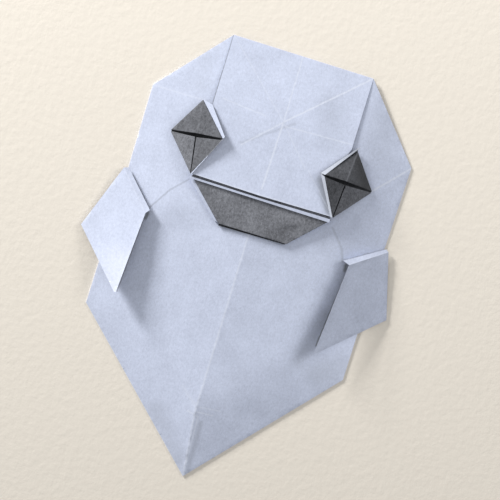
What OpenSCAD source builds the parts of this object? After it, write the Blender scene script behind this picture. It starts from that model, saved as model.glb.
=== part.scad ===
// Folded paper ghost, made from one uncut square sheet, white on one side and grey on the other.
// It lies on its back: X runs across it, Y runs up to the top of the head, Z comes out of the face.
// Plan sizes are measured from the middle of the face, heights from the table.

/* [Paper] */
// Thickness of one folded layer
layer_t = 0.3; // [0.2:0.05:0.4]
// Height of the pressed fold along the outline, a little under two layers
fold_h = 0.5; // [0.4:0.05:0.55]
// Slit between the two margins where they meet on the back
seam_gap = 0.5; // [0.2:0.1:1]
// Length of the closed stretch of that slit above the tip
seam_stop = 14; // [10:1:20]

/* [Head] */
// Width of the square face panel
face_w = 40; // [38:0.5:42]
// Width of the head at its side corners
head_w = 74.4; // [70:0.2:80]
// Height of the middle of the face panel
face_mid_z = 3.8; // [3.6:0.1:4.6]
// Height of the middle of the face panel's lower edge
face_low_z = 5.2; // [5:0.1:5.6]
// Height of the face panel's lower corners
face_corner_z = 4.8; // [4.7:0.1:5.1]
// Height of the cheek where the face panel laps over it
pleat_z = 2.9; // [2.6:0.1:3.1]
// Height of the face panel's side edge over the cheek
lap_gap = 0.9; // [0.6:0.1:1]
// Depth of that lap behind the edge of the face panel
pleat_w = 3; // [2:0.5:5]

/* [Eyes] */
// Distance of an eye's top corner from the middle line
eye_top_x = 22.5; // [21.5:0.1:23.5]
// Distance of an eye's top corner above the middle of the face
eye_top_y = 0.4; // [0.2:0.1:1]
// Distance of an eye's outer corner from the middle line
eye_outer_x = 28.7; // [27:0.1:30]
// Distance of an eye's inner corner from the middle line
eye_inner_x = 14.3; // [13:0.1:15.5]
// Distance from the middle of the face down to the slit across an eye
eye_slit_y = 9.4; // [8.6:0.1:10.2]
// Height of an eye's raised inner corner
eye_inner_z = 6.2; // [5.8:0.1:6.8]
// Place where the slit dips between its inner and outer corner, as a share of its length
eye_dip = 0.45; // [0.35:0.05:0.6]
// Drop of the lower half of an eye below its upper half
eye_lap = 0.8; // [0.6:0.1:1]
// Width of the white fold between an eye and the face
eye_rim = 0.9; // [0.6:0.1:1.4]

/* [Mouth] */
// Length of the mouth below the face's lower edge
mouth_h = 10.4; // [8:0.1:12]
// Width of the mouth along its lower edge
mouth_low_w = 19.4; // [16:0.1:22]
// Distance of the mouth's lower edge to the right of the middle line
mouth_shift = 1; // [-1.5:0.1:1.5]
// Height of the mouth under the face's lower edge
mouth_z = 4.1; // [4:0.05:4.2]
// Height of the mouth's lower edge
mouth_low_z = 4; // [3.9:0.1:4.6]
// Depth that the mouth is tucked up behind the face
mouth_tuck = 5; // [3:0.5:6]
// Depth of the hem turned under at the mouth's lower edge
mouth_hem = 3; // [2:0.5:5]
// Width of the white fold that shows between the face and the mouth
lip_w = 0.7; // [0.4:0.1:1.2]
// Depth that the white fold is tucked up behind the face
lip_tuck = 1.7; // [1:0.1:3]

/* [Body] */
// Width of the body
body_w = 73.6; // [70:0.2:78]
// Distance from the middle of the face down to the shoulders
shoulder_y = 23.7; // [22.5:0.1:25]
// Distance from the middle of the face down to the body's side corners
corner_y = 61.7; // [58:0.1:66]
// Distance from the middle of the face down to the bend in the ridge
bend_y = 81.5; // [78:0.5:84]
// Distance of the bend to the right of the middle line
bend_x = 0.7; // [0:0.1:1.5]
// Distance from the middle of the face down to the pointed tip
tip_y = 99.5; // [96:0.5:104]
// Distance of the tip to the right of the middle line
tip_x = 2.8; // [1:0.1:4]
// Height of the body's ridge behind the mouth
ridge_z = 3.5; // [3.2:0.1:3.6]
// Height of the body where its side creases start, below the face's lower corners
collar_z = 3; // [2.7:0.1:3.2]
// Drop of that start below the face's lower corners
collar_drop = 1.6; // [1:0.1:2.5]
// Height of the ridge at its bend
bend_z = 2.8; // [2.4:0.1:3.2]
// Width of the doubled ridge from the bend to the tip
ridge_w = 1.6; // [1:0.1:2.4]
// Distance from the bend down to the start of the ridge's second crease
ridge_step = 3.2; // [2:0.1:4]

/* [Both arms] */
// Distance from the body's side edge in to an arm's hinge
hinge_in = 8.3; // [7:0.1:9.5]
// Distance that an arm's upper corner stands out past the body's side edge
arm_over = 1; // [0.4:0.1:2]
// Distance from the shoulders down to an arm's outer corner
arm_drop = 18.4; // [16:0.1:20]
// Distance from a hinge in to the end of the body's side crease
crease_in = 1.6; // [1:0.1:2.5]
// Distance from a hinge up to the end of that crease
crease_up = 0.8; // [0:0.1:1.5]
// Height of that end
crease_z = 2.4; // [2.2:0.1:2.7]
// Height of an arm at its hinge
hinge_z = 4.2; // [4:0.1:4.6]
// Height of an arm's upper corner
arm_top_z = 1.4; // [1.3:0.1:1.8]
// Height of an arm's lifted tip
arm_tip_z = 5.4; // [5.3:0.1:6.5]
// Opening between the two layers of an arm beside its hinge
arm_gap = 1.1; // [0.8:0.1:1.2]

/* [Left arm] */
// Distance from the shoulder down to the left hinge
left_hinge_drop = 9.4; // [6.5:0.1:10]
// Length of the left arm's open inner edge
left_arm_l = 24.3; // [20:0.1:28]
// Distance that the left tip stands out from its hinge
left_tip_out = 1; // [-2:0.1:2]
// Distance that the left arm reaches past the body's side edge
left_reach = 7.8; // [5:0.1:10]

/* [Right arm] */
// Distance from the shoulder down to the right hinge
right_hinge_drop = 7.2; // [6.5:0.1:10]
// Length of the right arm's open inner edge
right_arm_l = 26; // [20:0.1:28]
// Distance that the right tip stands out from its hinge
right_tip_out = -1.1; // [-2:0.1:2]
// Distance that the right arm reaches past the body's side edge
right_reach = 6.4; // [5:0.1:10]

/* [Hidden] */
paper_white = [0.83, 0.86, 0.93];
paper_grey = [0.42, 0.43, 0.46];

// The two sides of the ghost
LEFT = -1;
RIGHT = 1;

// Half widths
face_x = face_w / 2;
head_x = head_w / 2;
body_x = body_w / 2;

// How far one layer runs into the next where the two are folded together
bite = layer_t / 2;
// Height of the face panel's top edge, pressed onto the hidden sheet behind it
face_top_z = fold_h + layer_t - bite;
// Height of the face panel's side edge
face_side_z = pleat_z + lap_gap;

// The sizes that differ from arm to arm
function hinge_drop(side) = side == LEFT ? left_hinge_drop : right_hinge_drop;
function arm_l(side) = side == LEFT ? left_arm_l : right_arm_l;
function tip_out(side) = side == LEFT ? left_tip_out : right_tip_out;
function reach(side) = side == LEFT ? left_reach : right_reach;

// Points and lists
function flip(p, side) = [side * p[0], p[1], p[2]];
function flip_all(points, side) = [for (p = points) flip(p, side)];
function raised(p, z) = [p[0], p[1], p[2] + z];
function between(p, q, share) = p + (q - p) * share;
function reversed(list) = [for (i = [len(list) - 1:-1:0]) list[i]];
function plan(points) = [for (p = points) [p[0], p[1]]];
// The point at x, y in the plane through three corners
function on_plane(p, q, r, x, y) =
    let (n = cross(q - p, r - p)) [x, y, p[2] - (n[0] * (x - p[0]) + n[1] * (y - p[1])) / n[2]];

// Corners on the middle line: top of the head, throat, the two ends of the bend and the tip
crown = [0, face_x, fold_h];
throat = [0, -face_x, ridge_z];
bend = [bend_x, -bend_y, bend_z];
bend_twin = bend + [ridge_w, -ridge_step, -layer_t];
tip = [tip_x, -tip_y, fold_h];

// Corners on the right of the front sheet
head_corner = [face_x, face_x, fold_h];
head_side = [head_x, 0, fold_h];
shoulder = [body_x, -shoulder_y, fold_h];
body_corner = [body_x, -corner_y, fold_h];
pleat = [face_x, 0, pleat_z];
collar = [face_x + layer_t, -face_x - collar_drop, collar_z];
function crease(side) = [
    body_x - hinge_in - crease_in, crease_up - shoulder_y - hinge_drop(side), crease_z
];

// The point of the cheek at x, y
function on_cheek(x, y) = on_plane(pleat, collar, head_side, x, y);

// Corners of the face panel and, on the right, of the eye
face_middle = [0, 0, face_mid_z];
face_low = [0, -face_x, face_low_z];
face_side = [face_x, 0, face_side_z];
face_corner = [face_x, -face_x, face_corner_z];
eye_top = [eye_top_x, eye_top_y, pleat_z + layer_t + bite];
eye_outer = raised(on_cheek(eye_outer_x, -eye_slit_y), bite);
eye_inner = [eye_inner_x, -eye_slit_y + eye_rim, eye_inner_z];
eye_mid = raised(between(eye_inner, eye_outer, eye_dip), layer_t);
eye_low = raised(on_cheek(face_x, -face_x), bite);

// Corners of an arm: upper corner, hinge, tip and outer corner
function arm_top(side) = [body_x + arm_over, -shoulder_y, arm_top_z];
function arm_hinge(side) = [body_x - hinge_in, -shoulder_y - hinge_drop(side), hinge_z];
function arm_tip(side) = arm_hinge(side) + [tip_out(side), -arm_l(side), arm_tip_z - hinge_z];
function arm_outer(side) = on_plane(
    arm_top(side), arm_hinge(side), arm_tip(side),
    body_x + reach(side), -shoulder_y - arm_drop
);

// A piece of paper between upper and lower corners that lie over each other.
// Facets and rim run anticlockwise seen from above.
module paper(upper, lower, facets, rim) {
    n = len(upper);
    under = [for (f = facets) [for (i = f) i + n]];
    sides = [
        for (k = [0:len(rim) - 1])
            let (i = rim[k], j = rim[(k + 1) % len(rim)]) [i, j, j + n, i + n]
    ];
    polyhedron(concat(upper, lower), concat([for (f = facets) reversed(f)], under, sides));
}

// One layer creased along the edges of its facets
module creased(corners, facets, rim) {
    paper(corners, [for (p = corners) raised(p, -layer_t)], facets, rim);
}

// The same for a layer whose facets and rim are listed as on the right side
module creased_side(corners, facets, rim, side) {
    if (side == RIGHT) creased(corners, facets, rim);
    else creased(corners, [for (f = facets) reversed(f)], reversed(rim));
}

// One layer spread flat between its corners, drawn for the right and flipped to either side
module panel(corners, side = RIGHT) {
    upper = side == LEFT ? reversed(flip_all(corners, LEFT)) : corners;
    count = len(corners);
    creased(upper, [for (i = [1:count - 2]) [0, i, i + 1]], [for (i = [0:count - 1]) i]);
}

// The turned edge of a fold, standing between an upper and a lower line
module turned_edge(top_p, top_q, low_p, low_q, side = RIGHT) {
    run = [top_q[0] - top_p[0], top_q[1] - top_p[1], 0];
    inward = layer_t * [-run[1], run[0], 0] / norm(run);
    upper = flip_all([top_p, top_q, top_q + inward, top_p + inward], side);
    lower = flip_all([low_p, low_q, low_q + inward, low_p + inward], side);
    quad = side == LEFT ? [3, 2, 1, 0] : [0, 1, 2, 3];
    paper(upper, lower, [[quad[0], quad[1], quad[2]], [quad[0], quad[2], quad[3]]], quad);
}

// Cheeks, shoulders and body, with the hidden part of the sheet behind the face
module front_sheet() {
    middle = [crown, throat, bend, bend_twin, tip];
    flank = [head_corner, head_side, shoulder, body_corner, pleat, collar];
    right = concat(flank, [crease(RIGHT)]);
    left = flip_all(concat(flank, [crease(LEFT)]), LEFT);
    half = [
        [0, 9, 5], [0, 1, 9], [1, 10, 9],
        [5, 9, 6], [9, 10, 6], [10, 7, 6], [10, 11, 7],
        [1, 11, 10], [1, 8, 11], [11, 8, 7], [1, 2, 8]
    ];
    other = [for (f = half) reversed([for (i = f) i < len(middle) ? i : i + len(right)])];
    ends = [[2, 3, 8], [3, 4, 8], [2, 4, 3], [2, 15, 4]];
    creased(concat(middle, right, left), concat(half, other, ends), [4, 8, 7, 6, 5, 0, 12, 13, 14, 15]);
}

// The margins turned flat behind, which meet along the middle
module back_margins() {
    right = [head_corner, head_side, shoulder, body_corner];
    outline = concat(right, [tip], reversed(flip_all(right, LEFT)));
    difference() {
        linear_extrude(layer_t) polygon(plan(outline));
        translate([-seam_gap / 2, seam_stop - tip_y, -layer_t])
            cube([seam_gap, tip_y + face_w, 3 * layer_t]);
    }
}

// The face panel with its crossed creases, drawn up to the inner corners of the eyes
module face_panel() {
    middle = [[0, face_x, face_top_z], face_middle, face_low];
    spread = between(face_middle, face_corner, eye_slit_y / face_x);
    right = [[face_x, face_x, face_top_z], face_side, spread, eye_inner, face_corner];
    half = [[1, 4, 3], [1, 3, 0], [1, 5, 4], [5, 6, 4], [5, 7, 6], [1, 2, 5], [2, 7, 5]];
    other = [for (f = half) reversed([for (i = f) i < len(middle) ? i : i + len(right)])];
    corners = concat(middle, right, flip_all(right, LEFT));
    creased(corners, concat(half, other), [2, 7, 6, 4, 3, 0, 8, 9, 11, 12]);
}

// The layer that runs back behind the face panel's side edge and out again as the cheek
module pleat_layer(side) {
    upper_end = raised([face_x, face_x, face_top_z], -bite);
    edge = raised(face_side, -bite);
    root = raised(on_plane(crown, throat, pleat, face_x - pleat_w, 0), bite);
    panel([upper_end, root, edge], side);
}

// A raised eye: its upper half laps over a lower half that is creased down the middle
module eye(side) {
    rim_top = face_side + [-bite, 0, -bite / 2];
    rim_inner = eye_inner + [-bite, 0, -bite / 2];
    inner = eye_inner + [eye_rim / 2, -eye_rim / 2, -bite];
    upper_half = flip_all([rim_top, rim_inner, inner, eye_mid, eye_outer, eye_top], side);
    upper_facets = [[0, 1, 2], [0, 2, 5], [5, 2, 3], [5, 3, 4]];
    low_inner = eye_inner + [-bite, 0, -eye_lap - bite];
    low_mid = raised(eye_mid, -eye_lap - layer_t);
    low_outer = raised(eye_outer, -bite / 2);
    lower_half = flip_all([low_inner, eye_low, low_outer, low_mid], side);
    lower_facets = [[0, 1, 3], [1, 2, 3]];
    color(paper_grey) creased_side(upper_half, upper_facets, [0, 1, 2, 3, 4, 5], side);
    color(paper_grey) creased_side(lower_half, lower_facets, [0, 1, 2, 3], side);
    // Turned edge between the face and the lower half
    color(paper_white) turned_edge(
        face_corner, eye_inner, raised(eye_low, -layer_t), raised(low_inner, -layer_t), side
    );
}

// The grey mouth with its hem, tucked up behind the face, and the white lip that shows over it
module mouth(side) {
    share = 1 - mouth_tuck / face_x;
    low_y = -face_x - mouth_h;
    tucked_middle = raised(between(face_middle, face_low, share), -bite);
    tucked = raised(between(face_middle, face_corner, share), -bite);
    top_middle = [0, -face_x, mouth_z];
    top = [face_x - bite, -face_x, mouth_z];
    low_middle = [0, low_y, mouth_low_z];
    low = [mouth_low_w / 2 + side * mouth_shift, low_y, mouth_low_z];
    color(paper_grey) {
        panel([tucked_middle, top_middle, top, tucked], side);
        panel([top_middle, low_middle, low, top], side);
    }
    color(paper_white) {
        hem_middle = raised(between(low_middle, top_middle, mouth_hem / mouth_h), -layer_t);
        hem = [low[0], hem_middle[1], hem_middle[2]];
        panel([hem_middle, raised(low_middle, -bite), raised(low, -bite), hem], side);
        lip = [face_x, -face_x - lip_w, mouth_z + bite];
        lip_depth = [0, lip_tuck, 0];
        lip_middle = [0, lip[1], lip[2]];
        panel([lip_middle + lip_depth, lip_middle, lip, lip + lip_depth], side);
    }
}

// One arm: two layers, closed along the outer edges and open along the inner edge
module arm(side) {
    top = arm_top(side);
    hinge = arm_hinge(side);
    tip_end = arm_tip(side);
    outer = arm_outer(side);
    panel([top, hinge, tip_end, outer], side);
    panel([raised(top, -bite), raised(hinge, -arm_gap), raised(tip_end, -bite)], side);
    panel([raised(top, -bite), raised(tip_end, -bite), raised(outer, -bite)], side);
    // Turned edge that carries the arm on the shoulder
    turned_edge(top, hinge, [top[0], top[1], bite], [hinge[0], hinge[1], crease_z - layer_t], side);
}

// The whole ghost, one sheet from edge to edge
module folded_sheet() {
    translate([(left_reach - right_reach) / 2, (tip_y - face_x) / 2, 0]) {
        color(paper_white) {
            front_sheet();
            back_margins();
            face_panel();
        }
        for (side = [LEFT, RIGHT]) {
            color(paper_white) pleat_layer(side);
            eye(side);
            mouth(side);
            color(paper_white) arm(side);
        }
    }
}

folded_sheet();
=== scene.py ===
import math

import bmesh
import bpy
from mathutils import Matrix, Vector, noise


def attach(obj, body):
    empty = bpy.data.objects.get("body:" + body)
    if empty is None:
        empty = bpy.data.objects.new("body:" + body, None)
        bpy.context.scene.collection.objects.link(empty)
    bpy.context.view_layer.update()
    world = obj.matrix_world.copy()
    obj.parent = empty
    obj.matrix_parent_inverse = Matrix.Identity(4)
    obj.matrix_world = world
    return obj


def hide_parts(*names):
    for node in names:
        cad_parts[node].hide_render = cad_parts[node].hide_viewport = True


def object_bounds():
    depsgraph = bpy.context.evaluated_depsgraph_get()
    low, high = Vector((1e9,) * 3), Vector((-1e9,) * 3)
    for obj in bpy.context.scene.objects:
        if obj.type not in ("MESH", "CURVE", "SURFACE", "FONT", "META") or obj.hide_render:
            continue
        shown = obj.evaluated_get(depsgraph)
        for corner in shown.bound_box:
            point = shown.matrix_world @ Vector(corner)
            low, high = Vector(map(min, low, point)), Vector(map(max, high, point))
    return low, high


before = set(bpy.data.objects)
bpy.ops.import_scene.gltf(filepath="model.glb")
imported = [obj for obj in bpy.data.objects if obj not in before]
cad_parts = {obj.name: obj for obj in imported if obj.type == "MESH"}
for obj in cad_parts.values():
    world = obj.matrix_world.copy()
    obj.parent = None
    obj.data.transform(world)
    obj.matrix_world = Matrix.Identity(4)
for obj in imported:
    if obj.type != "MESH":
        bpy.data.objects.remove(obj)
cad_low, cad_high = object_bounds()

bl_info = {
    "name": "Folded Paper Ghost",
    "version": (1, 0, 0),
    "blender": (4, 5, 0),
    "location": "3D View > Sidebar > Paper Ghost",
    "description": "Layers of a ghost folded from one sheet of two-coloured paper",
    "category": "Add Mesh",
}

NODE = "folded_sheet"
BODY = "root"
MM = 0.001

# The middle of the face panel in the frame: the head's top edge is the top of the part's box,
# and the right arm's outer corner is its right side.
FACE_TO_TOP = 20.0 * MM
FACE_TO_RIGHT = 43.2 * MM
FACE_X = cad_high[0] - FACE_TO_RIGHT
FACE_Y = cad_high[1] - FACE_TO_TOP

# Corners of the sheet in millimetres: out from the middle line, up from the middle of the face,
# and up from the table. The sheet was folded by hand, so the two sides differ a little.
MIDDLE = {
    "crown": (0.0, 20.0, 0.8),
    "throat": (0.0, -20.0, 3.5),
    "bend": (0.7, -81.5, 2.45),
    "tip": (2.8, -99.5, 0.3),
    "face_top": (-0.3, 20.0, 1.0),
    "face_mid": (0.0, 1.1, 3.5),
    "face_low": (-0.3, -20.0, 4.9),
}
RIGHT = {
    "name": "right",
    "sign": 1,
    # Painted shade and light on the eye: the grey flaps' share of colour, a lighter share on the outer lower
    # flap, and the strength of a painted shade strip on the upper flap
    "eye_shade": 0.52,
    "outer_painted_light": 0.78,
    "flap_shade": 0.65,
    "eye_crease": 0.9,
    "head_corner": (19.9, 20.0, 1.0),
    "head_side": (37.2, -0.3, 0.3),
    "shoulder": (36.8, -24.1, 0.3),
    "body_corner": (36.7, -61.2, 0.3),
    "pleat": (20.0, 0.0, 2.8),
    "collar": (20.8, -21.6, 2.85),
    "crease": (26.9, -30.0, 2.3),
    "rib_mid": (24.2, -44.0, 2.4),
    "rib": (21.0, -60.0, 2.0),
    "hollow_mid": (29.6, -44.0, 0.35),
    "hollow": (26.8, -60.0, 0.4),
    "hinge_foot": (28.8, -31.4, 1.1),
    "face_head": (19.9, 20.0, 1.0),
    "face_side": (20.0, -0.3, 3.1),
    "face_under": (17.0, -9.5, 4.0),
    "face_spread": (9.4, -9.3, 4.2),
    "face_corner": (20.4, -19.6, 4.5),
    "rim_inner": (13.8, -9.15, 6.0),
    "rim_fold": (21.4, 0.35, 3.9),
    "rim_foot": (19.95, -19.8, 4.75),
    "rim_top": (22.3, 1.0, 3.55),
    "eye_top": (21.8, -0.5, 3.5),
    "eye_inner": (15.1, -9.25, 5.9),
    "eye_mid": (21.2, -9.2, 5.2),
    "eye_outer": (28.7, -9.6, 2.0),
    "eye_low": (20.6, -19.7, 4.7),
    "arm_top": (38.1, -24.1, 1.0),
    "band_top": (37.3, -23.5, 0.9),
    "arm_hinge": (28.75, -30.7, 4.3),
    "arm_tip": (26.8, -56.9, 5.5),
    "arm_outer": (43.15, -42.0, 0.5),
}
LEFT = {
    "name": "left",
    "sign": -1,
    # Painted shade and light on the eye: the grey flaps' share of colour, a lighter share on the outer lower
    # flap, and the strength of a painted shade strip on the upper flap, none on this side
    "eye_shade": 0.76,
    "outer_painted_light": 0.98,
    "flap_shade": 0.0,
    "eye_crease": 0.2,
    "head_corner": (20.1, 20.0, 0.95),
    "head_side": (37.2, 0.3, 0.3),
    "shoulder": (36.8, -23.7, 0.3),
    "body_corner": (36.75, -62.1, 0.3),
    "pleat": (19.9, 0.3, 2.35),
    "collar": (20.0, -21.3, 2.6),
    "crease": (27.6, -32.7, 2.2),
    "rib_mid": (27.0, -45.0, 1.6),
    "rib": (26.0, -58.0, 1.45),
    "hollow_mid": (30.0, -45.0, 1.3),
    "hollow": (29.6, -56.5, 1.1),
    "hinge_foot": (29.2, -33.6, 1.7),
    "face_head": (20.1, 20.0, 1.0),
    "face_side": (19.9, 0.0, 3.4),
    "face_under": (17.0, -8.8, 4.0),
    "face_spread": (9.2, -8.2, 4.2),
    "face_corner": (19.8, -19.8, 4.6),
    "rim_inner": (14.0, -7.6, 5.7),
    "rim_fold": (19.9, -0.2, 3.9),
    "rim_foot": (19.7, -19.9, 4.9),
    "rim_top": (22.9, 0.6, 3.55),
    "eye_top": (22.8, 0.4, 3.5),
    "eye_inner": (14.4, -8.2, 5.6),
    "eye_mid": (21.6, -8.9, 4.3),
    "eye_outer": (28.7, -10.0, 2.3),
    "eye_low": (20.0, -19.8, 4.85),
    "arm_top": (37.9, -23.7, 1.6),
    "band_top": (36.7, -23.3, 1.2),
    "arm_hinge": (28.5, -33.9, 4.0),
    "arm_tip": (29.7, -57.4, 5.8),
    "arm_outer": (44.5, -42.1, 0.8),
}
SIDES = (RIGHT, LEFT)

# The front's outline on one side, and the facets that its folds divide it into
BODY_OUTLINE = ("crown", "throat", "bend", "tip", "body_corner", "shoulder", "head_side", "head_corner")
BODY_FACETS = (
    ("crown", "pleat", "head_corner"),
    ("crown", "throat", "pleat"),
    ("throat", "collar", "pleat"),
    ("head_corner", "pleat", "head_side"),
    ("pleat", "collar", "head_side"),
    ("collar", "shoulder", "head_side"),
    ("collar", "crease", "shoulder"),
    ("throat", "crease", "collar"),
    ("throat", "rib_mid", "crease"),
    ("throat", "rib", "rib_mid"),
    ("throat", "bend", "rib"),
    ("crease", "rib_mid", "hollow_mid"),
    ("crease", "hollow_mid", "hinge_foot"),
    ("rib_mid", "rib", "hollow"),
    ("rib_mid", "hollow", "hollow_mid"),
    ("crease", "hinge_foot", "shoulder"),
    ("hinge_foot", "hollow_mid", "shoulder"),
    ("hollow_mid", "body_corner", "shoulder"),
    ("hollow_mid", "hollow", "body_corner"),
    ("rib", "body_corner", "hollow"),
    ("bend", "body_corner", "rib"),
    ("bend", "tip", "body_corner"),
)
FACE_OUTLINE = (
    "face_top", "face_mid", "face_low", "face_corner", "face_under", "face_side", "face_head",
)
FACE_FACETS = (
    ("face_mid", "face_side", "face_head"),
    ("face_mid", "face_head", "face_top"),
    ("face_mid", "face_spread", "face_side"),
    ("face_spread", "face_under", "face_side"),
    ("face_spread", "face_corner", "face_under"),
    ("face_mid", "face_low", "face_spread"),
    ("face_low", "face_corner", "face_spread"),
)

# The mouth in millimetres right of and above the middle of the face, and up from the table: its
# outline from the upper left corner round to the upper right one, and its edge under the face
MOUTH = ((-19.6, -20.3, 4.05), (-8.7, -30.6, 3.75), (0.5, -30.5, 4.1), (10.7, -30.4, 3.7), (20.4, -20.5, 4.05))
MOUTH_TUCK = ((15.0, -15.0, 4.1), (-15.0, -15.0, 4.1))
LIP_LOW = ((-19.9, -21.1, 4.4), (0.0, -21.2, 4.6), (20.1, -21.3, 4.4))
LIP_HIGH = ((-19.9, -20.55, 4.45), (0.0, -20.62, 4.65), (20.1, -20.35, 4.45))
MOUTH_FOLD = ((-20.6, -20.6, 3.7), (-10.1, -30.1, 3.2), (-9.1, -30.3, 3.6), (-19.2, -20.6, 4.0))
MOUTH_HEM = ((-8.6, -31.1, 3.5), (10.3, -30.65, 3.5), (10.3, -29.5, 3.55), (-8.3, -29.5, 3.55))

# Creases worn pale, and painted shade, in the paper's colour: start, end, width in millimetres and
# strength. A place is a named corner, or millimetres right of and above the middle of the face.
BODY_CREASES = (
    ("middle throat", "middle bend", 0.45, 0.7),
    ("middle bend", "middle tip", 0.4, 0.7),
    ((1.9, -82.6), "middle tip", 0.35, 0.6),
    ((-4.6, -75.9), (0.5, -80.5), 0.7, 0.3),
    ((-2.9, -77.9), (0.5, -79.5), 0.3, 0.5),
    ((-1.4, -81.9), (1.6, -82.6), 0.4, 0.6),
    ((0.6, -81.5), (5.6, -81.2), 0.3, 0.7),
    ((0.6, -80.1), (7.3, -79.4), 0.3, 0.5),
    ("right head_side", "right eye_outer", 0.45, 1.0),
    ("left head_side", "left eye_top", 0.4, 0.45),
)
# Painted shade in the paper's colour: the gaps along the face's two sides, the doubled ridge, the gap under each
# arm's inner edge and the notch at its hinge, the collar folds, the hollow beside the right arm, and broad tones
# where the paper turns from the light
BODY_SHADES = (
    ("left head_corner", "left pleat", 0.45, 0.75),
    ("right head_corner", "right pleat", 0.3, 0.5),
    ((3.2, -84.0), (3.6, -98.4), 1.2, 0.3),
    ((28.8, -34.0), (26.8, -54.5), 0.45, 1.0),
    ((28.0, -31.0), (28.2, -32.5), 0.8, 1.0),
    ((-28.7, -36.0), (-29.6, -56.5), 0.4, 0.8),
    ((-27.9, -33.8), (-28.2, -35.2), 0.8, 1.0),
    ((-27.9, -32.0), (-24.1, -25.8), 0.45, 0.45),
    ((-24.1, -25.8), (-19.7, -21.2), 0.45, 0.35),
    ((21.4, -22.3), (25.4, -26.8), 0.6, 0.3),
    ((25.4, -26.8), (26.8, -30.2), 0.6, 0.35),
    ((27.0, -46.0), (23.6, -60.5), 3.6, 0.22),
    ((-26.0, 13.0), (-25.0, 4.0), 6.0, 0.12),
    ((27.0, 9.0), (28.5, 1.0), 7.0, 0.18),
    ((30.0, -61.5), (36.0, -58.0), 6.5, 0.28),
    ((-9.0, -84.5), (0.5, -96.0), 5.0, 0.22),
)
FACE_CREASES = (
    ("middle face_top", "middle face_mid", 0.35, 0.75),
    ("middle face_mid", (-0.2, -18.0), 0.45, 0.9),
    ("right head_corner", "middle face_mid", 0.4, 1.0),
    ("middle face_mid", "left face_spread", 0.4, 0.8),
    ("left head_corner", "middle face_mid", 0.3, 0.4),
    ("middle face_mid", "right face_spread", 0.3, 0.4),
    ((-17.6, 2.4), (-5.2, 1.3), 0.35, 0.55),
    ((1.0, 0.2), (19.5, 0.9), 0.35, 0.6),
    ((10.5, -9.6), (19.6, -18.7), 0.3, 0.45),
    ("left face_corner", "right face_corner", 0.35, 0.6),
)
# Painted shade on the face: the dark side of a diagonal crease, the right eye's shadow beside it, a broad tone
# where the face turns from the light, and a thin shadow along each eye's upper rim
FACE_SHADES = (
    ((3.0, 1.6), (-9.4, -7.7), 0.7, 0.25),
    ((14.4, -10.8), (19.1, -18.6), 2.0, 0.65),
    ((11.0, 10.0), (14.0, 1.0), 7.0, 0.14),
    ("right rim_fold", "right rim_inner", 0.45, 0.4),
    ("left rim_fold", "left rim_inner", 0.45, 0.4),
)
# The arms' folded edges worn pale, and a painted highlight that lightens the left arm's tip
ARM_CREASES_AND_HIGHLIGHT = (
    ("right arm_top", "right arm_hinge", 0.3, 0.3),
    ("right arm_hinge", "right arm_tip", 0.25, 0.3),
    ("left arm_top", "left arm_hinge", 0.3, 0.3),
    ("left arm_hinge", "left arm_tip", 0.25, 0.3),
    # Painted highlight: a broad pale stroke over the left arm's tip
    ((-31.5, -49.0), (-30.0, -57.0), 7.5, 0.8),
)

# Spacing and turn of the grid that a layer's mesh is divided by, and how close two points count as one
MESH_STEP = 0.9 * MM
GRID_TURN = math.radians(29)
WELD = 0.001 * MM
# How near a crease a point of the mesh is on it
ON_CREASE = 0.01 * MM
# Two rings that round a layer's rim over: each one's share of the width, and of the drop
RIM_RINGS = ((0.6, 0.3), (0.4, 1.0))
# An edge that turns by more than this stays sharp
SHARP_TURN = math.radians(38)


def place(x, y, z):
    """The frame's point for a distance right of and above the middle of the face, in millimetres."""
    return Vector((FACE_X + x * MM, FACE_Y + y * MM, z * MM))


def corner(side, name):
    """A named corner of one side, or of the middle line."""
    if name in MIDDLE:
        return place(*MIDDLE[name])
    x, y, z = side[name]
    return place(side["sign"] * x, y, z)


def spot(where):
    """A place of the finish seen from above: a side and a corner's name, or a pair of millimetres."""
    if not isinstance(where, str):
        return place(*where, 0.0)
    side_name, name = where.split()
    side = LEFT if side_name == "left" else RIGHT
    return corner(side, name)


def strokes(table):
    """The lines of a table of the finish, as points and metres."""
    return [(spot(start), spot(end), width * MM, strength) for start, end, width, strength in table]


# Meshes of the layers
def flat_layer(*rings):
    """A layer of flat faces, one for each ring of points. Equal points share a vertex."""
    bm = bmesh.new()
    verts = {}
    for ring in rings:
        for point in ring:
            if tuple(point) not in verts:
                verts[tuple(point)] = bm.verts.new(point)
        bm.faces.new([verts[tuple(point)] for point in ring])
    bm.normal_update()
    return bm


def side_layer(side, *rings):
    """A layer whose rings are given for the right side, turned round for the left to point up."""
    if side is LEFT:
        rings = [list(reversed(ring)) for ring in rings]
    return flat_layer(*rings)


def divide(bm, step):
    """Cuts a layer along a square grid of lines step apart, turned so that no fold runs along them."""
    for axis in (Vector((1, 0, 0)), Vector((0, 1, 0))):
        direction = Matrix.Rotation(GRID_TURN, 3, "Z") @ axis
        low = min(v.co.dot(direction) for v in bm.verts)
        high = max(v.co.dot(direction) for v in bm.verts)
        cuts = int((high - low) / step)
        for i in range(cuts):
            cut = direction * (low + (high - low) * (i + 1) / (cuts + 1))
            geom = bm.verts[:] + bm.edges[:] + bm.faces[:]
            bmesh.ops.bisect_plane(bm, geom=geom, dist=WELD, plane_co=cut, plane_no=direction)


def facet_height(point, facets):
    """Height of the flat facet that lies over a point, or of the nearest one."""
    best_inside = None
    height = 0.0
    for a, b, c in facets:
        area = (b - a).xy.cross((c - a).xy)
        share_b = (point - a).xy.cross((c - a).xy) / area
        share_c = (b - a).xy.cross((point - a).xy) / area
        share_a = 1.0 - share_b - share_c
        inside = min(share_a, share_b, share_c)
        if best_inside is None or inside > best_inside:
            best_inside = inside
            height = a.z * share_a + b.z * share_b + c.z * share_c
    return height


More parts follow.
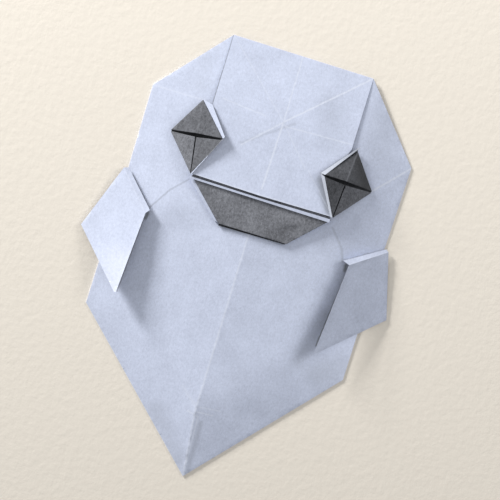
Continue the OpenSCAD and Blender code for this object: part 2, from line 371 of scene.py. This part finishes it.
def lay_over(bm, facets):
    """Divides a layer evenly and lays it over facets, each given by its three points."""
    divide(bm, MESH_STEP)
    for v in bm.verts:
        v.co.z = facet_height(v.co, facets)


def two_sided_layer(outline, facets):
    """A layer of both sides, joined along the middle line and laid over the facets of its folds."""
    rings = []
    folded = []
    for side in SIDES:
        ring = [corner(side, name) for name in outline]
        rings.append(ring if side is RIGHT else list(reversed(ring)))
        folded += [tuple(corner(side, name) for name in facet) for facet in facets]
    bm = flat_layer(*rings)
    lay_over(bm, folded)
    return bm


def roll_rim(bm, depth, width):
    """Rounds a layer's rim over into a fold by lowering narrow rings along it."""
    for width_share, drop_share in RIM_RINGS:
        bmesh.ops.inset_region(
            bm, faces=bm.faces[:], thickness=width * width_share, use_boundary=True, use_even_offset=True
        )
        rim = {v for e in bm.edges if e.is_boundary for v in e.verts}
        for v in rim:
            v.co.z -= depth * drop_share


def off_line(point, start, end):
    """How far a point lies from the line between start and end, seen from above."""
    along = (end - start).xy
    share = min(1.0, max(0.0, (point - start).xy.dot(along) / along.length_squared))
    return ((point - start).xy - along * share).length


def soften(bm, repeats, firm=()):
    """Rounds the creases by smoothing heights only; the outline and the firm creases stay."""
    inner = [
        v for v in bm.verts
        if not v.is_boundary and all(off_line(v.co, *crease) > ON_CREASE for crease in firm)
    ]
    for _ in range(repeats):
        bmesh.ops.smooth_vert(bm, verts=inner, factor=0.5, use_axis_z=True)


def bow(bm, amount, spread, seed):
    """Lets the paper bow a little between its creases."""
    shift = Vector((seed, 2.0 * seed, 0.0))
    for v in bm.verts:
        v.co.z += amount * noise.noise(Vector((v.co.x, v.co.y, 0.0)) / spread + shift)


def thicken(bm, depth):
    """Gives a layer its thickness downwards; the new faces under it are its other side."""
    top = bm.faces[:]
    made = bmesh.ops.extrude_face_region(bm, geom=top, use_keep_orig=True)["geom"]
    bmesh.ops.translate(bm, verts=[g for g in made if isinstance(g, bmesh.types.BMVert)], vec=(0, 0, -depth))
    for g in made:
        if isinstance(g, bmesh.types.BMFace):
            g.material_index = 1
    bmesh.ops.recalc_face_normals(bm, faces=bm.faces[:])
    for f in bm.faces:
        f.smooth = True
    for e in bm.edges:
        e.smooth = e.calc_face_angle(math.pi) < SHARP_TURN


def finish_piece(name, layers, materials):
    """Joins the layers' meshes into one piece that rides on the part and stands for its node."""
    whole = bmesh.new()
    for bm in layers:
        mesh = bpy.data.meshes.new(name)
        bm.to_mesh(mesh)
        bm.free()
        whole.from_mesh(mesh)
        bpy.data.meshes.remove(mesh)
    mesh = bpy.data.meshes.new(name)
    whole.to_mesh(mesh)
    whole.free()
    piece = bpy.data.objects.new(name, mesh)
    bpy.context.scene.collection.objects.link(piece)
    for material in materials:
        piece.data.materials.append(material)
    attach(piece, BODY)
    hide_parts(NODE)


# Materials
class Graph:
    """Short hand for building a material's nodes."""

    def __init__(self, name):
        self.material = bpy.data.materials.new(name)
        self.material.use_nodes = True
        self.tree = self.material.node_tree
        self.shader = self.tree.nodes["Principled BSDF"]

    def node(self, kind, **settings):
        node = self.tree.nodes.new(kind)
        for key, value in settings.items():
            setattr(node, key, value)
        return node

    def link(self, source, target):
        if hasattr(source, "is_output"):
            self.tree.links.new(source, target)
        else:
            target.default_value = source

    def math(self, operation, a, b=0.0, clamp=False):
        node = self.node("ShaderNodeMath", operation=operation, use_clamp=clamp)
        self.link(a, node.inputs[0])
        self.link(b, node.inputs[1])
        return node.outputs[0]

    def vector(self, operation, a, b=(0.0, 0.0, 0.0), scale=None):
        node = self.node("ShaderNodeVectorMath", operation=operation)
        self.link(a, node.inputs[0])
        self.link(b, node.inputs[1])
        if scale is not None:
            self.link(scale, node.inputs["Scale"])
        return node.outputs["Value"] if operation in ("DOT_PRODUCT", "LENGTH") else node.outputs[0]

    def noise(self, coords, scale, detail=3.0, rough=0.5, distortion=0.0):
        node = self.node("ShaderNodeTexNoise")
        self.link(coords, node.inputs["Vector"])
        node.inputs["Scale"].default_value = scale
        node.inputs["Detail"].default_value = detail
        node.inputs["Roughness"].default_value = rough
        node.inputs["Distortion"].default_value = distortion
        return node.outputs[0]

    def noise_offset(self, coords, scale, depth):
        """A wandering offset of up to about depth each way."""
        node = self.node("ShaderNodeTexNoise")
        self.link(coords, node.inputs["Vector"])
        node.inputs["Scale"].default_value = scale
        centred = self.vector("SUBTRACT", node.outputs["Color"], (0.5, 0.5, 0.5))
        return self.vector("SCALE", centred, scale=depth)

    def ramp(self, value, low, high, out_low=0.0, out_high=1.0, smooth=False):
        node = self.node("ShaderNodeMapRange", interpolation_type="SMOOTHSTEP" if smooth else "LINEAR")
        self.link(value, node.inputs["Value"])
        for key, number in (("From Min", low), ("From Max", high), ("To Min", out_low), ("To Max", out_high)):
            self.link(number, node.inputs[key])
        return node.outputs[0]

    def mix(self, factor, a, b):
        node = self.node("ShaderNodeMix", data_type="RGBA")
        self.link(factor, node.inputs[0])
        self.link(a, node.inputs[6])
        self.link(b, node.inputs[7])
        return node.outputs[2]

    def bump(self, height, strength, distance):
        node = self.node("ShaderNodeBump")
        node.inputs["Strength"].default_value = strength
        node.inputs["Distance"].default_value = distance
        self.link(height, node.inputs["Height"])
        self.link(node.outputs[0], self.shader.inputs["Normal"])


def crease_line(graph, flat, start, end, width, strength):
    """A soft line from start to end seen from above: strength on the line, 0 at width from it."""
    a = Vector((start.x, start.y, 0.0))
    along = Vector((end.x, end.y, 0.0)) - a
    offset = graph.vector("SUBTRACT", flat, tuple(a))
    reach = graph.vector("DOT_PRODUCT", offset, tuple(along))
    share = graph.math("MULTIPLY", reach, 1.0 / along.length_squared, clamp=True)
    nearest = graph.vector("SCALE", tuple(along), scale=share)
    gap = graph.vector("LENGTH", graph.vector("SUBTRACT", offset, nearest))
    return graph.ramp(gap, 0.0, width, strength, 0.0, smooth=True)


def strongest(graph, flat, lines):
    """The soft lines of a list together: the strongest of them at each place, 0 away from them all."""
    total = None
    for start, end, width, strength in lines:
        line = crease_line(graph, flat, start, end, width, strength)
        total = line if total is None else graph.math("MAXIMUM", total, line)
    return total


# How much of its colour the paper keeps in a painted shade
SHADE_TONE = (0.46, 0.455, 0.42)
# Fibres of the paper run along the sheet: its noise is stretched by this much
FIBRE_STRETCH = (1.0, 0.35, 1.0)
# How far a worn crease wanders
CREASE_WANDER = 0.4 * MM
# Depth of the paper's grain
GRAIN_DEPTH = 0.15 * MM
# Contrast of the fibres on the sheet's pale side, on its worn edges and on its grey side
WHITE_MOTTLE = 0.2
WORN_MOTTLE = 0.16
GREY_MOTTLE = 0.8
# How much paler a crease is than the grey side
GREY_WEAR = 2.0


def paper(name, colour, worn, mottle, lines=(), shades=()):
    """Thin craft paper: mottled fibres, grain, pale worn creases and painted highlights, and painted shade."""
    graph = Graph(name)
    coords = graph.node("ShaderNodeTexCoord").outputs["Object"]
    flat = graph.vector("MULTIPLY", coords, (1.0, 1.0, 0.0))
    wandering = graph.vector("ADD", flat, graph.noise_offset(flat, scale=900.0, depth=CREASE_WANDER))
    along_fibres = graph.vector("MULTIPLY", coords, FIBRE_STRETCH)
    cloud = graph.noise(flat, scale=130.0, detail=3.0, rough=0.6)
    speck = graph.noise(flat, scale=1300.0, detail=4.0, rough=0.75)
    fibre = graph.noise(along_fibres, scale=2600.0, detail=2.0, rough=0.5, distortion=1.5)
    grain = 0.0
    for part, share in ((cloud, 0.3), (speck, 0.4), (fibre, 0.3)):
        grain = graph.math("ADD", graph.math("MULTIPLY", part, share), grain)
    tone = graph.ramp(grain, 0.3, 0.7, 1.0 - mottle, 1.0 + mottle)
    base = graph.vector("SCALE", colour, scale=tone)
    # Painted shade: the colour darkened along the shade lines
    if shades:
        shaded = (*(part * kept for part, kept in zip(colour, SHADE_TONE)), 1.0)
        base = graph.mix(strongest(graph, wandering, shades), base, shaded)
    # Creases worn pale; on the arms one line is a painted highlight
    if lines:
        patches = graph.ramp(speck, 0.35, 0.6, 0.55, 1.0)
        wear_and_highlight = graph.math("MULTIPLY", strongest(graph, wandering, lines), patches)
        base = graph.mix(wear_and_highlight, base, (*worn, 1.0))
    graph.link(base, graph.shader.inputs["Base Color"])
    graph.shader.inputs["Roughness"].default_value = 0.85
    graph.shader.inputs["Specular IOR Level"].default_value = 0.25
    graph.bump(grain, strength=0.35, distance=GRAIN_DEPTH)
    return graph.material


def white_paper(name, lines=(), shades=(), shade=1.0):
    """The sheet's pale side at a share of its colour; a share below one is painted shade for a piece turned from
    the light.
    """
    settings = bpy.context.scene.ghost_paper
    colour = tuple(shade * part for part in settings.white_side)
    return paper(name, colour, tuple(settings.worn_white), WHITE_MOTTLE, lines, shades)


def worn_paper(name):
    """A pale folded edge, rubbed all along."""
    worn = tuple(bpy.context.scene.ghost_paper.worn_white)
    return paper(name, worn, worn, WORN_MOTTLE)


def grey_paper(name, shade, lines=(), shades=()):
    """The sheet's grey side at a share of its colour: painted shade and light on the eyes, lining and hem."""
    colour = tuple(shade * part for part in bpy.context.scene.ghost_paper.grey_side)
    worn = tuple(GREY_WEAR * part for part in colour)
    return paper(name, colour, worn, GREY_MOTTLE, lines, shades)


# Sizes and colours that a user would change
class GhostPaperSettings(bpy.types.PropertyGroup):
    layer_thickness: bpy.props.FloatProperty(
        name="Layer thickness", description="Thickness of one folded layer",
        default=0.15 * MM, min=0.05 * MM, max=0.4 * MM, precision=5, unit="LENGTH", subtype="DISTANCE",
    )
    seam_gap: bpy.props.FloatProperty(
        name="Back seam", description="Width of the slit between the two margins behind",
        default=0.5 * MM, min=0.1 * MM, max=4.0 * MM, precision=5, unit="LENGTH", subtype="DISTANCE",
    )
    tip_radius: bpy.props.FloatProperty(
        name="Arm tip", description="How far from its point an arm's tip is blunted",
        default=0.6 * MM, min=0.1 * MM, max=2.0 * MM, precision=5, unit="LENGTH", subtype="DISTANCE",
    )
    white_side: bpy.props.FloatVectorProperty(
        name="White side", description="Colour of the sheet's pale side",
        default=(0.66, 0.71, 0.86), min=0.0, max=1.0, subtype="COLOR",
    )
    grey_side: bpy.props.FloatVectorProperty(
        name="Grey side", description="Colour of the sheet's grey side",
        default=(0.2, 0.205, 0.225), min=0.0, max=1.0, subtype="COLOR",
    )
    worn_white: bpy.props.FloatVectorProperty(
        name="Worn crease", description="Colour of broken fibres along a crease",
        default=(0.8, 0.84, 0.95), min=0.0, max=1.0, subtype="COLOR",
    )


class GhostStageSettings(bpy.types.PropertyGroup):
    floor_colour: bpy.props.FloatVectorProperty(
        name="Floor", description="Colour of the plain pale floor",
        default=(0.955, 0.88, 0.77), min=0.0, max=1.0, subtype="COLOR",
    )
    light_colour: bpy.props.FloatVectorProperty(
        name="Light colour", description="Colour of both soft lights",
        default=(1.0, 1.0, 1.0), min=0.0, max=1.0, subtype="COLOR",
    )
    light_distance: bpy.props.FloatProperty(
        name="Light distance", description="Distance of both soft lights from the middle of the table",
        default=1.2, min=0.3, unit="LENGTH", subtype="DISTANCE",
    )
    key_azimuth: bpy.props.FloatProperty(
        name="Key direction", description="Direction of the key light, anticlockwise from the picture's right",
        default=math.radians(128), unit="ROTATION", subtype="ANGLE",
    )
    key_elevation: bpy.props.FloatProperty(
        name="Key height", description="Angle of the key light over the table",
        default=math.radians(15), unit="ROTATION", subtype="ANGLE",
    )
    key_size: bpy.props.FloatProperty(
        name="Key size", description="Width of the square key light",
        default=0.25, min=0.05, unit="LENGTH", subtype="DISTANCE",
    )
    key_power: bpy.props.FloatProperty(
        name="Key power", description="Power of the key light",
        default=20.0, min=0.0, unit="POWER",
    )
    side_azimuth: bpy.props.FloatProperty(
        name="Side direction", description="Direction of the side light, anticlockwise from the picture's right",
        default=math.radians(18), unit="ROTATION", subtype="ANGLE",
    )
    side_elevation: bpy.props.FloatProperty(
        name="Side height", description="Angle of the side light over the table",
        default=math.radians(30), unit="ROTATION", subtype="ANGLE",
    )
    side_size: bpy.props.FloatProperty(
        name="Side size", description="Width of the square side light",
        default=0.3, min=0.05, unit="LENGTH", subtype="DISTANCE",
    )
    side_power: bpy.props.FloatProperty(
        name="Side power", description="Power of the side light",
        default=3.0, min=0.0, unit="POWER",
    )
    room_colour: bpy.props.FloatVectorProperty(
        name="Room colour", description="Colour of the even light of the room",
        default=(0.95, 0.97, 1.0), min=0.0, max=1.0, subtype="COLOR",
    )
    room_light: bpy.props.FloatProperty(
        name="Room light", description="Strength of the even light of the room",
        default=0.405, min=0.0,
    )
    view_turn: bpy.props.FloatProperty(
        name="View turn", description="Turn of the camera about its line of sight",
        default=math.radians(17.5), unit="ROTATION", subtype="ANGLE",
    )
    view_distance: bpy.props.FloatProperty(
        name="View distance", description="Height of the camera over the table",
        default=0.9, min=0.3, unit="LENGTH", subtype="DISTANCE",
    )
    view_width: bpy.props.FloatProperty(
        name="View width", description="Width of the table that the picture shows",
        default=0.137, min=0.05, precision=4, unit="LENGTH", subtype="DISTANCE",
    )


class GHOST_OT_body(bpy.types.Operator):
    """Add the front of the sheet: cheeks, shoulders and the ridged body"""
    bl_idname = "ghost.body"
    bl_label = "Add Body"

    def execute(self, context):
        bm = two_sided_layer(BODY_OUTLINE, BODY_FACETS)
        throat, bend, tip = (corner(RIGHT, name) for name in ("throat", "bend", "tip"))
        soften(bm, 30, firm=[(throat, bend), (bend, tip)])
        bow(bm, amount=0.04 * MM, spread=18 * MM, seed=3.1)
        thicken(bm, context.scene.ghost_paper.layer_thickness)
        body_paper = white_paper("body_paper", strokes(BODY_CREASES), strokes(BODY_SHADES))
        finish_piece("paper_body", [bm], [body_paper, grey_paper("body_reverse", 1.0)])
        return {"FINISHED"}


class GHOST_OT_margins(bpy.types.Operator):
    """Add the two margins turned flat behind, which the ghost lies on"""
    bl_idname = "ghost.margins"
    bl_label = "Add Back Margins"

    def execute(self, context):
        settings = context.scene.ghost_paper
        depth = settings.layer_thickness
        seam_low = -88.0
        seam_high = 20.0
        layers = []
        for side in SIDES:
            seam = side["sign"] * 0.5 * settings.seam_gap / MM
            outline = [place(seam, seam_high, 0.0), place(seam, seam_low, 0.0)]
            outline += [
                corner(side, name) for name in ("tip", "body_corner", "shoulder", "head_side", "head_corner")
            ]
            for point in outline:
                point.z = depth
            bm = side_layer(side, outline)
            divide(bm, 3 * MESH_STEP)
            thicken(bm, depth)
            layers.append(bm)
        finish_piece("paper_margins", layers, [white_paper("margin_inside"), white_paper("margin_paper")])
        return {"FINISHED"}


class GHOST_OT_face(bpy.types.Operator):
    """Add the square face panel with its crossed creases"""
    bl_idname = "ghost.face"
    bl_label = "Add Face"

    def execute(self, context):
        bm = two_sided_layer(FACE_OUTLINE, FACE_FACETS)
        soften(bm, 4)
        bow(bm, amount=0.03 * MM, spread=14 * MM, seed=7.7)
        thicken(bm, context.scene.ghost_paper.layer_thickness)
        face_paper = white_paper("face_paper", strokes(FACE_CREASES), strokes(FACE_SHADES))
        finish_piece("paper_face", [bm], [face_paper, grey_paper("face_reverse", 1.0)])
        return {"FINISHED"}


def directions(side):
    """A millimetre out from the middle line, one down the sheet and one down to the table."""
    return Vector((side["sign"] * MM, 0, 0)), Vector((0, -MM, 0)), Vector((0, 0, -MM))


def eye_flaps(side):
    """The eye's upper flap, the two lower ones with the slit between them, and the lining behind."""
    out, down, sink = directions(side)
    top, inner, mid, outer, low = (
        corner(side, "eye_" + name) for name in ("top", "inner", "mid", "outer", "low")
    )
    slit = mid + 1.05 * down + 0.5 * sink
    near_top = inner + 0.45 * down + 0.2 * sink
    far_top = outer + 0.4 * down + 0.1 * sink
    upper = side_layer(side, (top, inner, mid), (top, mid, outer))
    near = side_layer(side, (near_top, low - 0.1 * out, slit - 0.15 * out))
    far = side_layer(side, (far_top, slit + 0.2 * out, low + 0.1 * out + 0.15 * sink))
    back = mid + 1.5 * sink
    rim = [top + 0.6 * sink, inner + 0.9 * sink, low + 0.5 * sink, outer + 0.3 * sink]
    lining = side_layer(side, *((rim[i], rim[(i + 1) % len(rim)], back) for i in range(len(rim))))
    return upper, near, far, lining


def eye_wall(side):
    """The wall that stands under the eye's two edges on the face."""
    out, _, sink = directions(side)
    fold, inner, foot = (corner(side, "rim_" + name) for name in ("fold", "inner", "foot"))
    heel = inner + 1.2 * out + 1.9 * sink
    under_top = corner(side, "eye_top") + 0.5 * sink
    under_foot = foot + 0.4 * out + 0.4 * sink
    return side_layer(side, (fold, inner, heel, under_top), (inner, foot, under_foot, heel))


def eye_rims(side):
    """The folded white edges along the eye's upper and lower edge on the face."""
    out, down, sink = directions(side)
    fold, inner, top, foot = (corner(side, "rim_" + name) for name in ("fold", "inner", "top", "foot"))
    eye_inner = corner(side, "eye_inner")
    under_inner = eye_inner + 0.45 * down + 0.1 * sink
    upper = side_layer(side, (fold, inner, eye_inner, top))
    lower = side_layer(side, (inner, foot, corner(side, "eye_low") - 0.1 * out, under_inner))
    return upper, lower


def set_paper(bm, index):
    """Gives every face of a layer one of its piece's papers."""
    for f in bm.faces:
        f.material_index = index


class GHOST_OT_eyes(bpy.types.Operator):
    """Add the two raised grey eyes, each of an upper flap over two lower ones, and their white rims"""
    bl_idname = "ghost.eyes"
    bl_label = "Add Eyes"

    def execute(self, context):
        ply = context.scene.ghost_paper.layer_thickness
        rims = []
        for side in SIDES:
            upper, near, far, lining = eye_flaps(side)
            wall = eye_wall(side)
            for bm in (upper, near, far):
                roll_rim(bm, depth=0.08 * MM, width=0.12 * MM)
            for bm in (upper, near, far, lining, wall):
                divide(bm, MESH_STEP)
            for bm in (upper, near, far, lining):
                bow(bm, amount=0.04 * MM, spread=4 * MM, seed=2.0 + side["sign"])
            for bm in (upper, near, far, lining, wall):
                thicken(bm, ply)
            # The lining is darkened as painted shade inside the pocket, and the outer lower flap is painted
            # lighter as painted light
            set_paper(lining, 1)
            set_paper(far, 2)
            self.finish_eye(side, [upper, near, far, lining, wall])
            for bm in eye_rims(side):
                divide(bm, MESH_STEP)
                thicken(bm, ply)
                if side is LEFT:
                    set_paper(bm, 1)
                rims.append(bm)
        finish_piece("paper_eye_rims", rims, [worn_paper("rim_paper"), white_paper("rim_reverse")])
        return {"FINISHED"}

    def finish_eye(self, side, layers):
        """Gives the eye its papers: creased upper flap with painted shade, lining darkened as painted shade,
        outer lower flap painted lighter.
        """
        top, mid, outer = (corner(side, "eye_" + name) for name in ("top", "mid", "outer"))
        crease = (top, mid, 0.4 * MM, side["eye_crease"])
        # Painted shade: a broad dark strip over the upper flap's outer part
        shade = (top.lerp(outer, 0.3), outer.lerp(mid, 0.2), 4.0 * MM, side["flap_shade"])
        name = side["name"] + "_eye"
        papers = [
            grey_paper(name + "_paper", side["eye_shade"], [crease], [shade]),
            grey_paper(name + "_lining_painted_shade", 0.25),
            grey_paper(name + "_outer_flap_painted_light", side["outer_painted_light"]),
        ]
        finish_piece("paper_" + name, layers, papers)


class GHOST_OT_mouth(bpy.types.Operator):
    """Add the grey mouth with its white lip, its hem darkened as painted shadow and the white fold on its left
    side
    """
    bl_idname = "ghost.mouth"
    bl_label = "Add Mouth"

    def execute(self, context):
        ply = context.scene.ghost_paper.layer_thickness
        left, low_left, low_mid, low_right, right = (place(*p) for p in MOUTH)
        tuck_right, tuck_left = (place(*p) for p in MOUTH_TUCK)
        mouth = flat_layer(
            (left, low_left, low_mid), (left, low_mid, right), (low_mid, low_right, right),
            (left, right, tuck_right, tuck_left),
        )
        roll_rim(mouth, depth=0.1 * MM, width=0.15 * MM)
        divide(mouth, MESH_STEP)
        soften(mouth, 3)
        bow(mouth, amount=0.03 * MM, spread=6 * MM, seed=4.4)
        thicken(mouth, ply)
        finish_piece("paper_mouth", [mouth], [grey_paper("mouth_paper", 1.1), white_paper("mouth_reverse")])

        hem = flat_layer([place(*p) for p in MOUTH_HEM])
        low = [place(*p) for p in LIP_LOW]
        high = [place(*p) for p in LIP_HIGH]
        lip = flat_layer((low[0], low[1], high[1], high[0]), (low[1], low[2], high[2], high[1]))
        fold = flat_layer([place(*p) for p in MOUTH_FOLD])
        for bm in (hem, lip, fold):
            divide(bm, MESH_STEP)
            thicken(bm, ply)
        # The hem is a ply of the grey side, darkened as painted shadow under the mouth's lower edge
        finish_piece("paper_mouth_hem_painted_shadow", [hem], [grey_paper("hem_painted_shadow", 0.2), grey_paper("hem_reverse_painted_shadow", 0.2)])
        finish_piece("paper_lip", [lip, fold], [white_paper("lip_paper"), white_paper("lip_reverse")])
        return {"FINISHED"}


def arm_layers(side, tip_radius):
    """The arm's upper and lower layer, its turned band, and the riser from the band to the body."""
    _, _, sink = directions(side)
    top, hinge, tip, outer = (corner(side, "arm_" + name) for name in ("top", "hinge", "tip", "outer"))
    crease = corner(side, "crease")
    band_top = corner(side, "band_top")
    tip_in = tip + (hinge - tip).normalized() * tip_radius
    tip_out = tip + (outer - tip).normalized() * tip_radius
    outline = (top, hinge, tip_in, tip_out, outer)
    upper = side_layer(side, outline)
    lay_over(upper, [(top, hinge, outer), (hinge, tip_in, outer), (tip_in, tip_out, outer)])
    soften(upper, 20)
    # The two layers are pressed together all round except at the hinge, where they part
    lower = side_layer(side, [p + (1.0 if p is hinge else 0.25) * sink for p in outline])
    lifted = Vector((crease.x, crease.y, hinge.z)) + 0.15 * sink
    band = side_layer(side, (top, band_top, lifted, hinge))
    riser = side_layer(side, (band_top, crease, lifted))
    for bm in (lower, band, riser):
        divide(bm, MESH_STEP)
    bow(upper, amount=0.03 * MM, spread=12 * MM, seed=5.0 + side["sign"])
    return upper, lower, band, riser


class GHOST_OT_arms(bpy.types.Operator):
    """Add the two lifted arms, each of two layers, with the turned edge that joins them to the shoulder"""
    bl_idname = "ghost.arms"
    bl_label = "Add Arms"

    def execute(self, context):
        settings = context.scene.ghost_paper
        layers = []
        for side in SIDES:
            for bm in arm_layers(side, settings.tip_radius):
                thicken(bm, settings.layer_thickness)
                # The right arm has its own paper, darkened more as painted shade
                if side is RIGHT:
                    for f in bm.faces:
                        f.material_index = 1 if f.material_index else 2
                layers.append(bm)
        lines = strokes(ARM_CREASES_AND_HIGHLIGHT)
        # Painted shade: both arms' papers are darkened, the right one more, as it is turned from the light
        papers = [
            white_paper("left_arm_paper_painted_shade", lines, shade=0.96),
            grey_paper("arm_reverse", 1.0),
            white_paper("right_arm_paper_painted_shade", lines, shade=0.89),
        ]
        finish_piece("paper_arms", layers, papers)
        return {"FINISHED"}


# The picture that the camera is set for, in pixels, with the middle of the face panel in it
PICTURE_SIZE = 500.0
FACE_PIXEL = (282.2, 126.6)
SENSOR_WIDTH = 36.0
FLOOR_REACH = 3.0
# Painted light falloff: the floor's tone fades down the picture, lighter above and darker below, from so far
# above the frame's origin to as far below it
FLOOR_FADE_REACH = 0.07
FLOOR_TONE_ABOVE = 1.08
FLOOR_TONE_BELOW = 0.92
FLOOR_GRAIN_DEPTH = 0.42 * MM


def floor_finish(stage, up):
    """Matt board with a fine tooth, with painted light falloff: a little darker towards the picture's bottom."""
    graph = Graph("floor_finish")
    coords = graph.node("ShaderNodeTexCoord").outputs["Object"]
    grain = graph.noise(coords, scale=500.0, detail=5.0, rough=0.6)
    below = graph.vector("DOT_PRODUCT", coords, tuple(-up))
    # Painted light falloff down the picture
    tone = graph.ramp(below, -FLOOR_FADE_REACH, FLOOR_FADE_REACH, FLOOR_TONE_ABOVE, FLOOR_TONE_BELOW)
    colour = graph.vector("SCALE", tuple(stage.floor_colour), scale=tone)
    graph.link(colour, graph.shader.inputs["Base Color"])
    graph.shader.inputs["Roughness"].default_value = 0.9
    graph.shader.inputs["Specular IOR Level"].default_value = 0.2
    graph.bump(grain, strength=0.25, distance=FLOOR_GRAIN_DEPTH)
    return graph.material


def add_softbox(name, stage, towards, size, power):
    """A square soft light that shines on the middle of the table from the direction towards."""
    data = bpy.data.lights.new(name, "AREA")
    data.shape = "SQUARE"
    data.size = size
    data.energy = power
    data.color = stage.light_colour
    lamp = bpy.data.objects.new(name, data)
    lamp.location = towards * stage.light_distance
    lamp.rotation_euler = (-towards).to_track_quat("-Z", "Y").to_euler()
    bpy.context.scene.collection.objects.link(lamp)


class GHOST_OT_stage(bpy.types.Operator):
    """Add the plain floor, the soft light and the camera"""
    bl_idname = "ghost.stage"
    bl_label = "Add Stage"

    def execute(self, context):
        stage = context.scene.ghost_stage
        scene = context.scene
        turn = Matrix.Rotation(stage.view_turn, 4, "Z")
        right = turn @ Vector((1, 0, 0))
        up = turn @ Vector((0, 1, 0))

        bm = bmesh.new()
        bmesh.ops.create_grid(bm, x_segments=1, y_segments=1, size=FLOOR_REACH)
        mesh = bpy.data.meshes.new("floor")
        bm.to_mesh(mesh)
        bm.free()
        floor = bpy.data.objects.new("floor", mesh)
        scene.collection.objects.link(floor)
        mesh.materials.append(floor_finish(stage, up))

        pixel = stage.view_width / PICTURE_SIZE
        aim = Vector((FACE_X, FACE_Y, 0.0))
        aim -= right * (FACE_PIXEL[0] - 0.5 * PICTURE_SIZE) * pixel
        aim += up * (FACE_PIXEL[1] - 0.5 * PICTURE_SIZE) * pixel
        camera_data = bpy.data.cameras.new("camera")
        camera_data.sensor_width = SENSOR_WIDTH
        camera_data.lens = SENSOR_WIDTH * stage.view_distance / stage.view_width
        camera = bpy.data.objects.new("camera", camera_data)
        camera.location = (aim.x, aim.y, stage.view_distance)
        camera.rotation_euler = (0.0, 0.0, stage.view_turn)
        scene.collection.objects.link(camera)
        scene.camera = camera

        def towards(azimuth, elevation):
            level = right * math.cos(azimuth) + up * math.sin(azimuth)
            return level * math.cos(elevation) + Vector((0, 0, math.sin(elevation)))

        key = towards(stage.key_azimuth, stage.key_elevation)
        side = towards(stage.side_azimuth, stage.side_elevation)
        add_softbox("key_light", stage, key, stage.key_size, stage.key_power)
        add_softbox("side_light", stage, side, stage.side_size, stage.side_power)

        world = bpy.data.worlds.new("studio")
        world.use_nodes = True
        background = world.node_tree.nodes["Background"]
        background.inputs["Color"].default_value = (*stage.room_colour, 1.0)
        background.inputs["Strength"].default_value = stage.room_light
        scene.world = world
        scene.view_settings.view_transform = "Standard"
        return {"FINISHED"}


class GHOST_PT_panel(bpy.types.Panel):
    """Sidebar panel with the ghost's settings and pieces"""
    bl_idname = "GHOST_PT_panel"
    bl_label = "Paper Ghost"
    bl_space_type = "VIEW_3D"
    bl_region_type = "UI"
    bl_category = "Paper Ghost"

    def draw(self, context):
        column = self.layout.column()
        for group in (context.scene.ghost_paper, context.scene.ghost_stage):
            for key in group.__annotations__:
                column.prop(group, key)
        for operator in OPERATORS:
            column.operator(operator.bl_idname)


OPERATORS = (
    GHOST_OT_stage, GHOST_OT_body, GHOST_OT_margins, GHOST_OT_face, GHOST_OT_eyes, GHOST_OT_mouth,
    GHOST_OT_arms,
)
CLASSES = (GhostPaperSettings, GhostStageSettings, *OPERATORS, GHOST_PT_panel)


def register():
    for cls in CLASSES:
        bpy.utils.register_class(cls)
    bpy.types.Scene.ghost_paper = bpy.props.PointerProperty(type=GhostPaperSettings)
    bpy.types.Scene.ghost_stage = bpy.props.PointerProperty(type=GhostStageSettings)


def unregister():
    del bpy.types.Scene.ghost_stage
    del bpy.types.Scene.ghost_paper
    for cls in reversed(CLASSES):
        bpy.utils.unregister_class(cls)


def main():
    register()
    for add in (
        bpy.ops.ghost.stage, bpy.ops.ghost.body, bpy.ops.ghost.margins, bpy.ops.ghost.face,
        bpy.ops.ghost.eyes, bpy.ops.ghost.mouth, bpy.ops.ghost.arms,
    ):
        add()


if __name__ == "__main__":
    main()
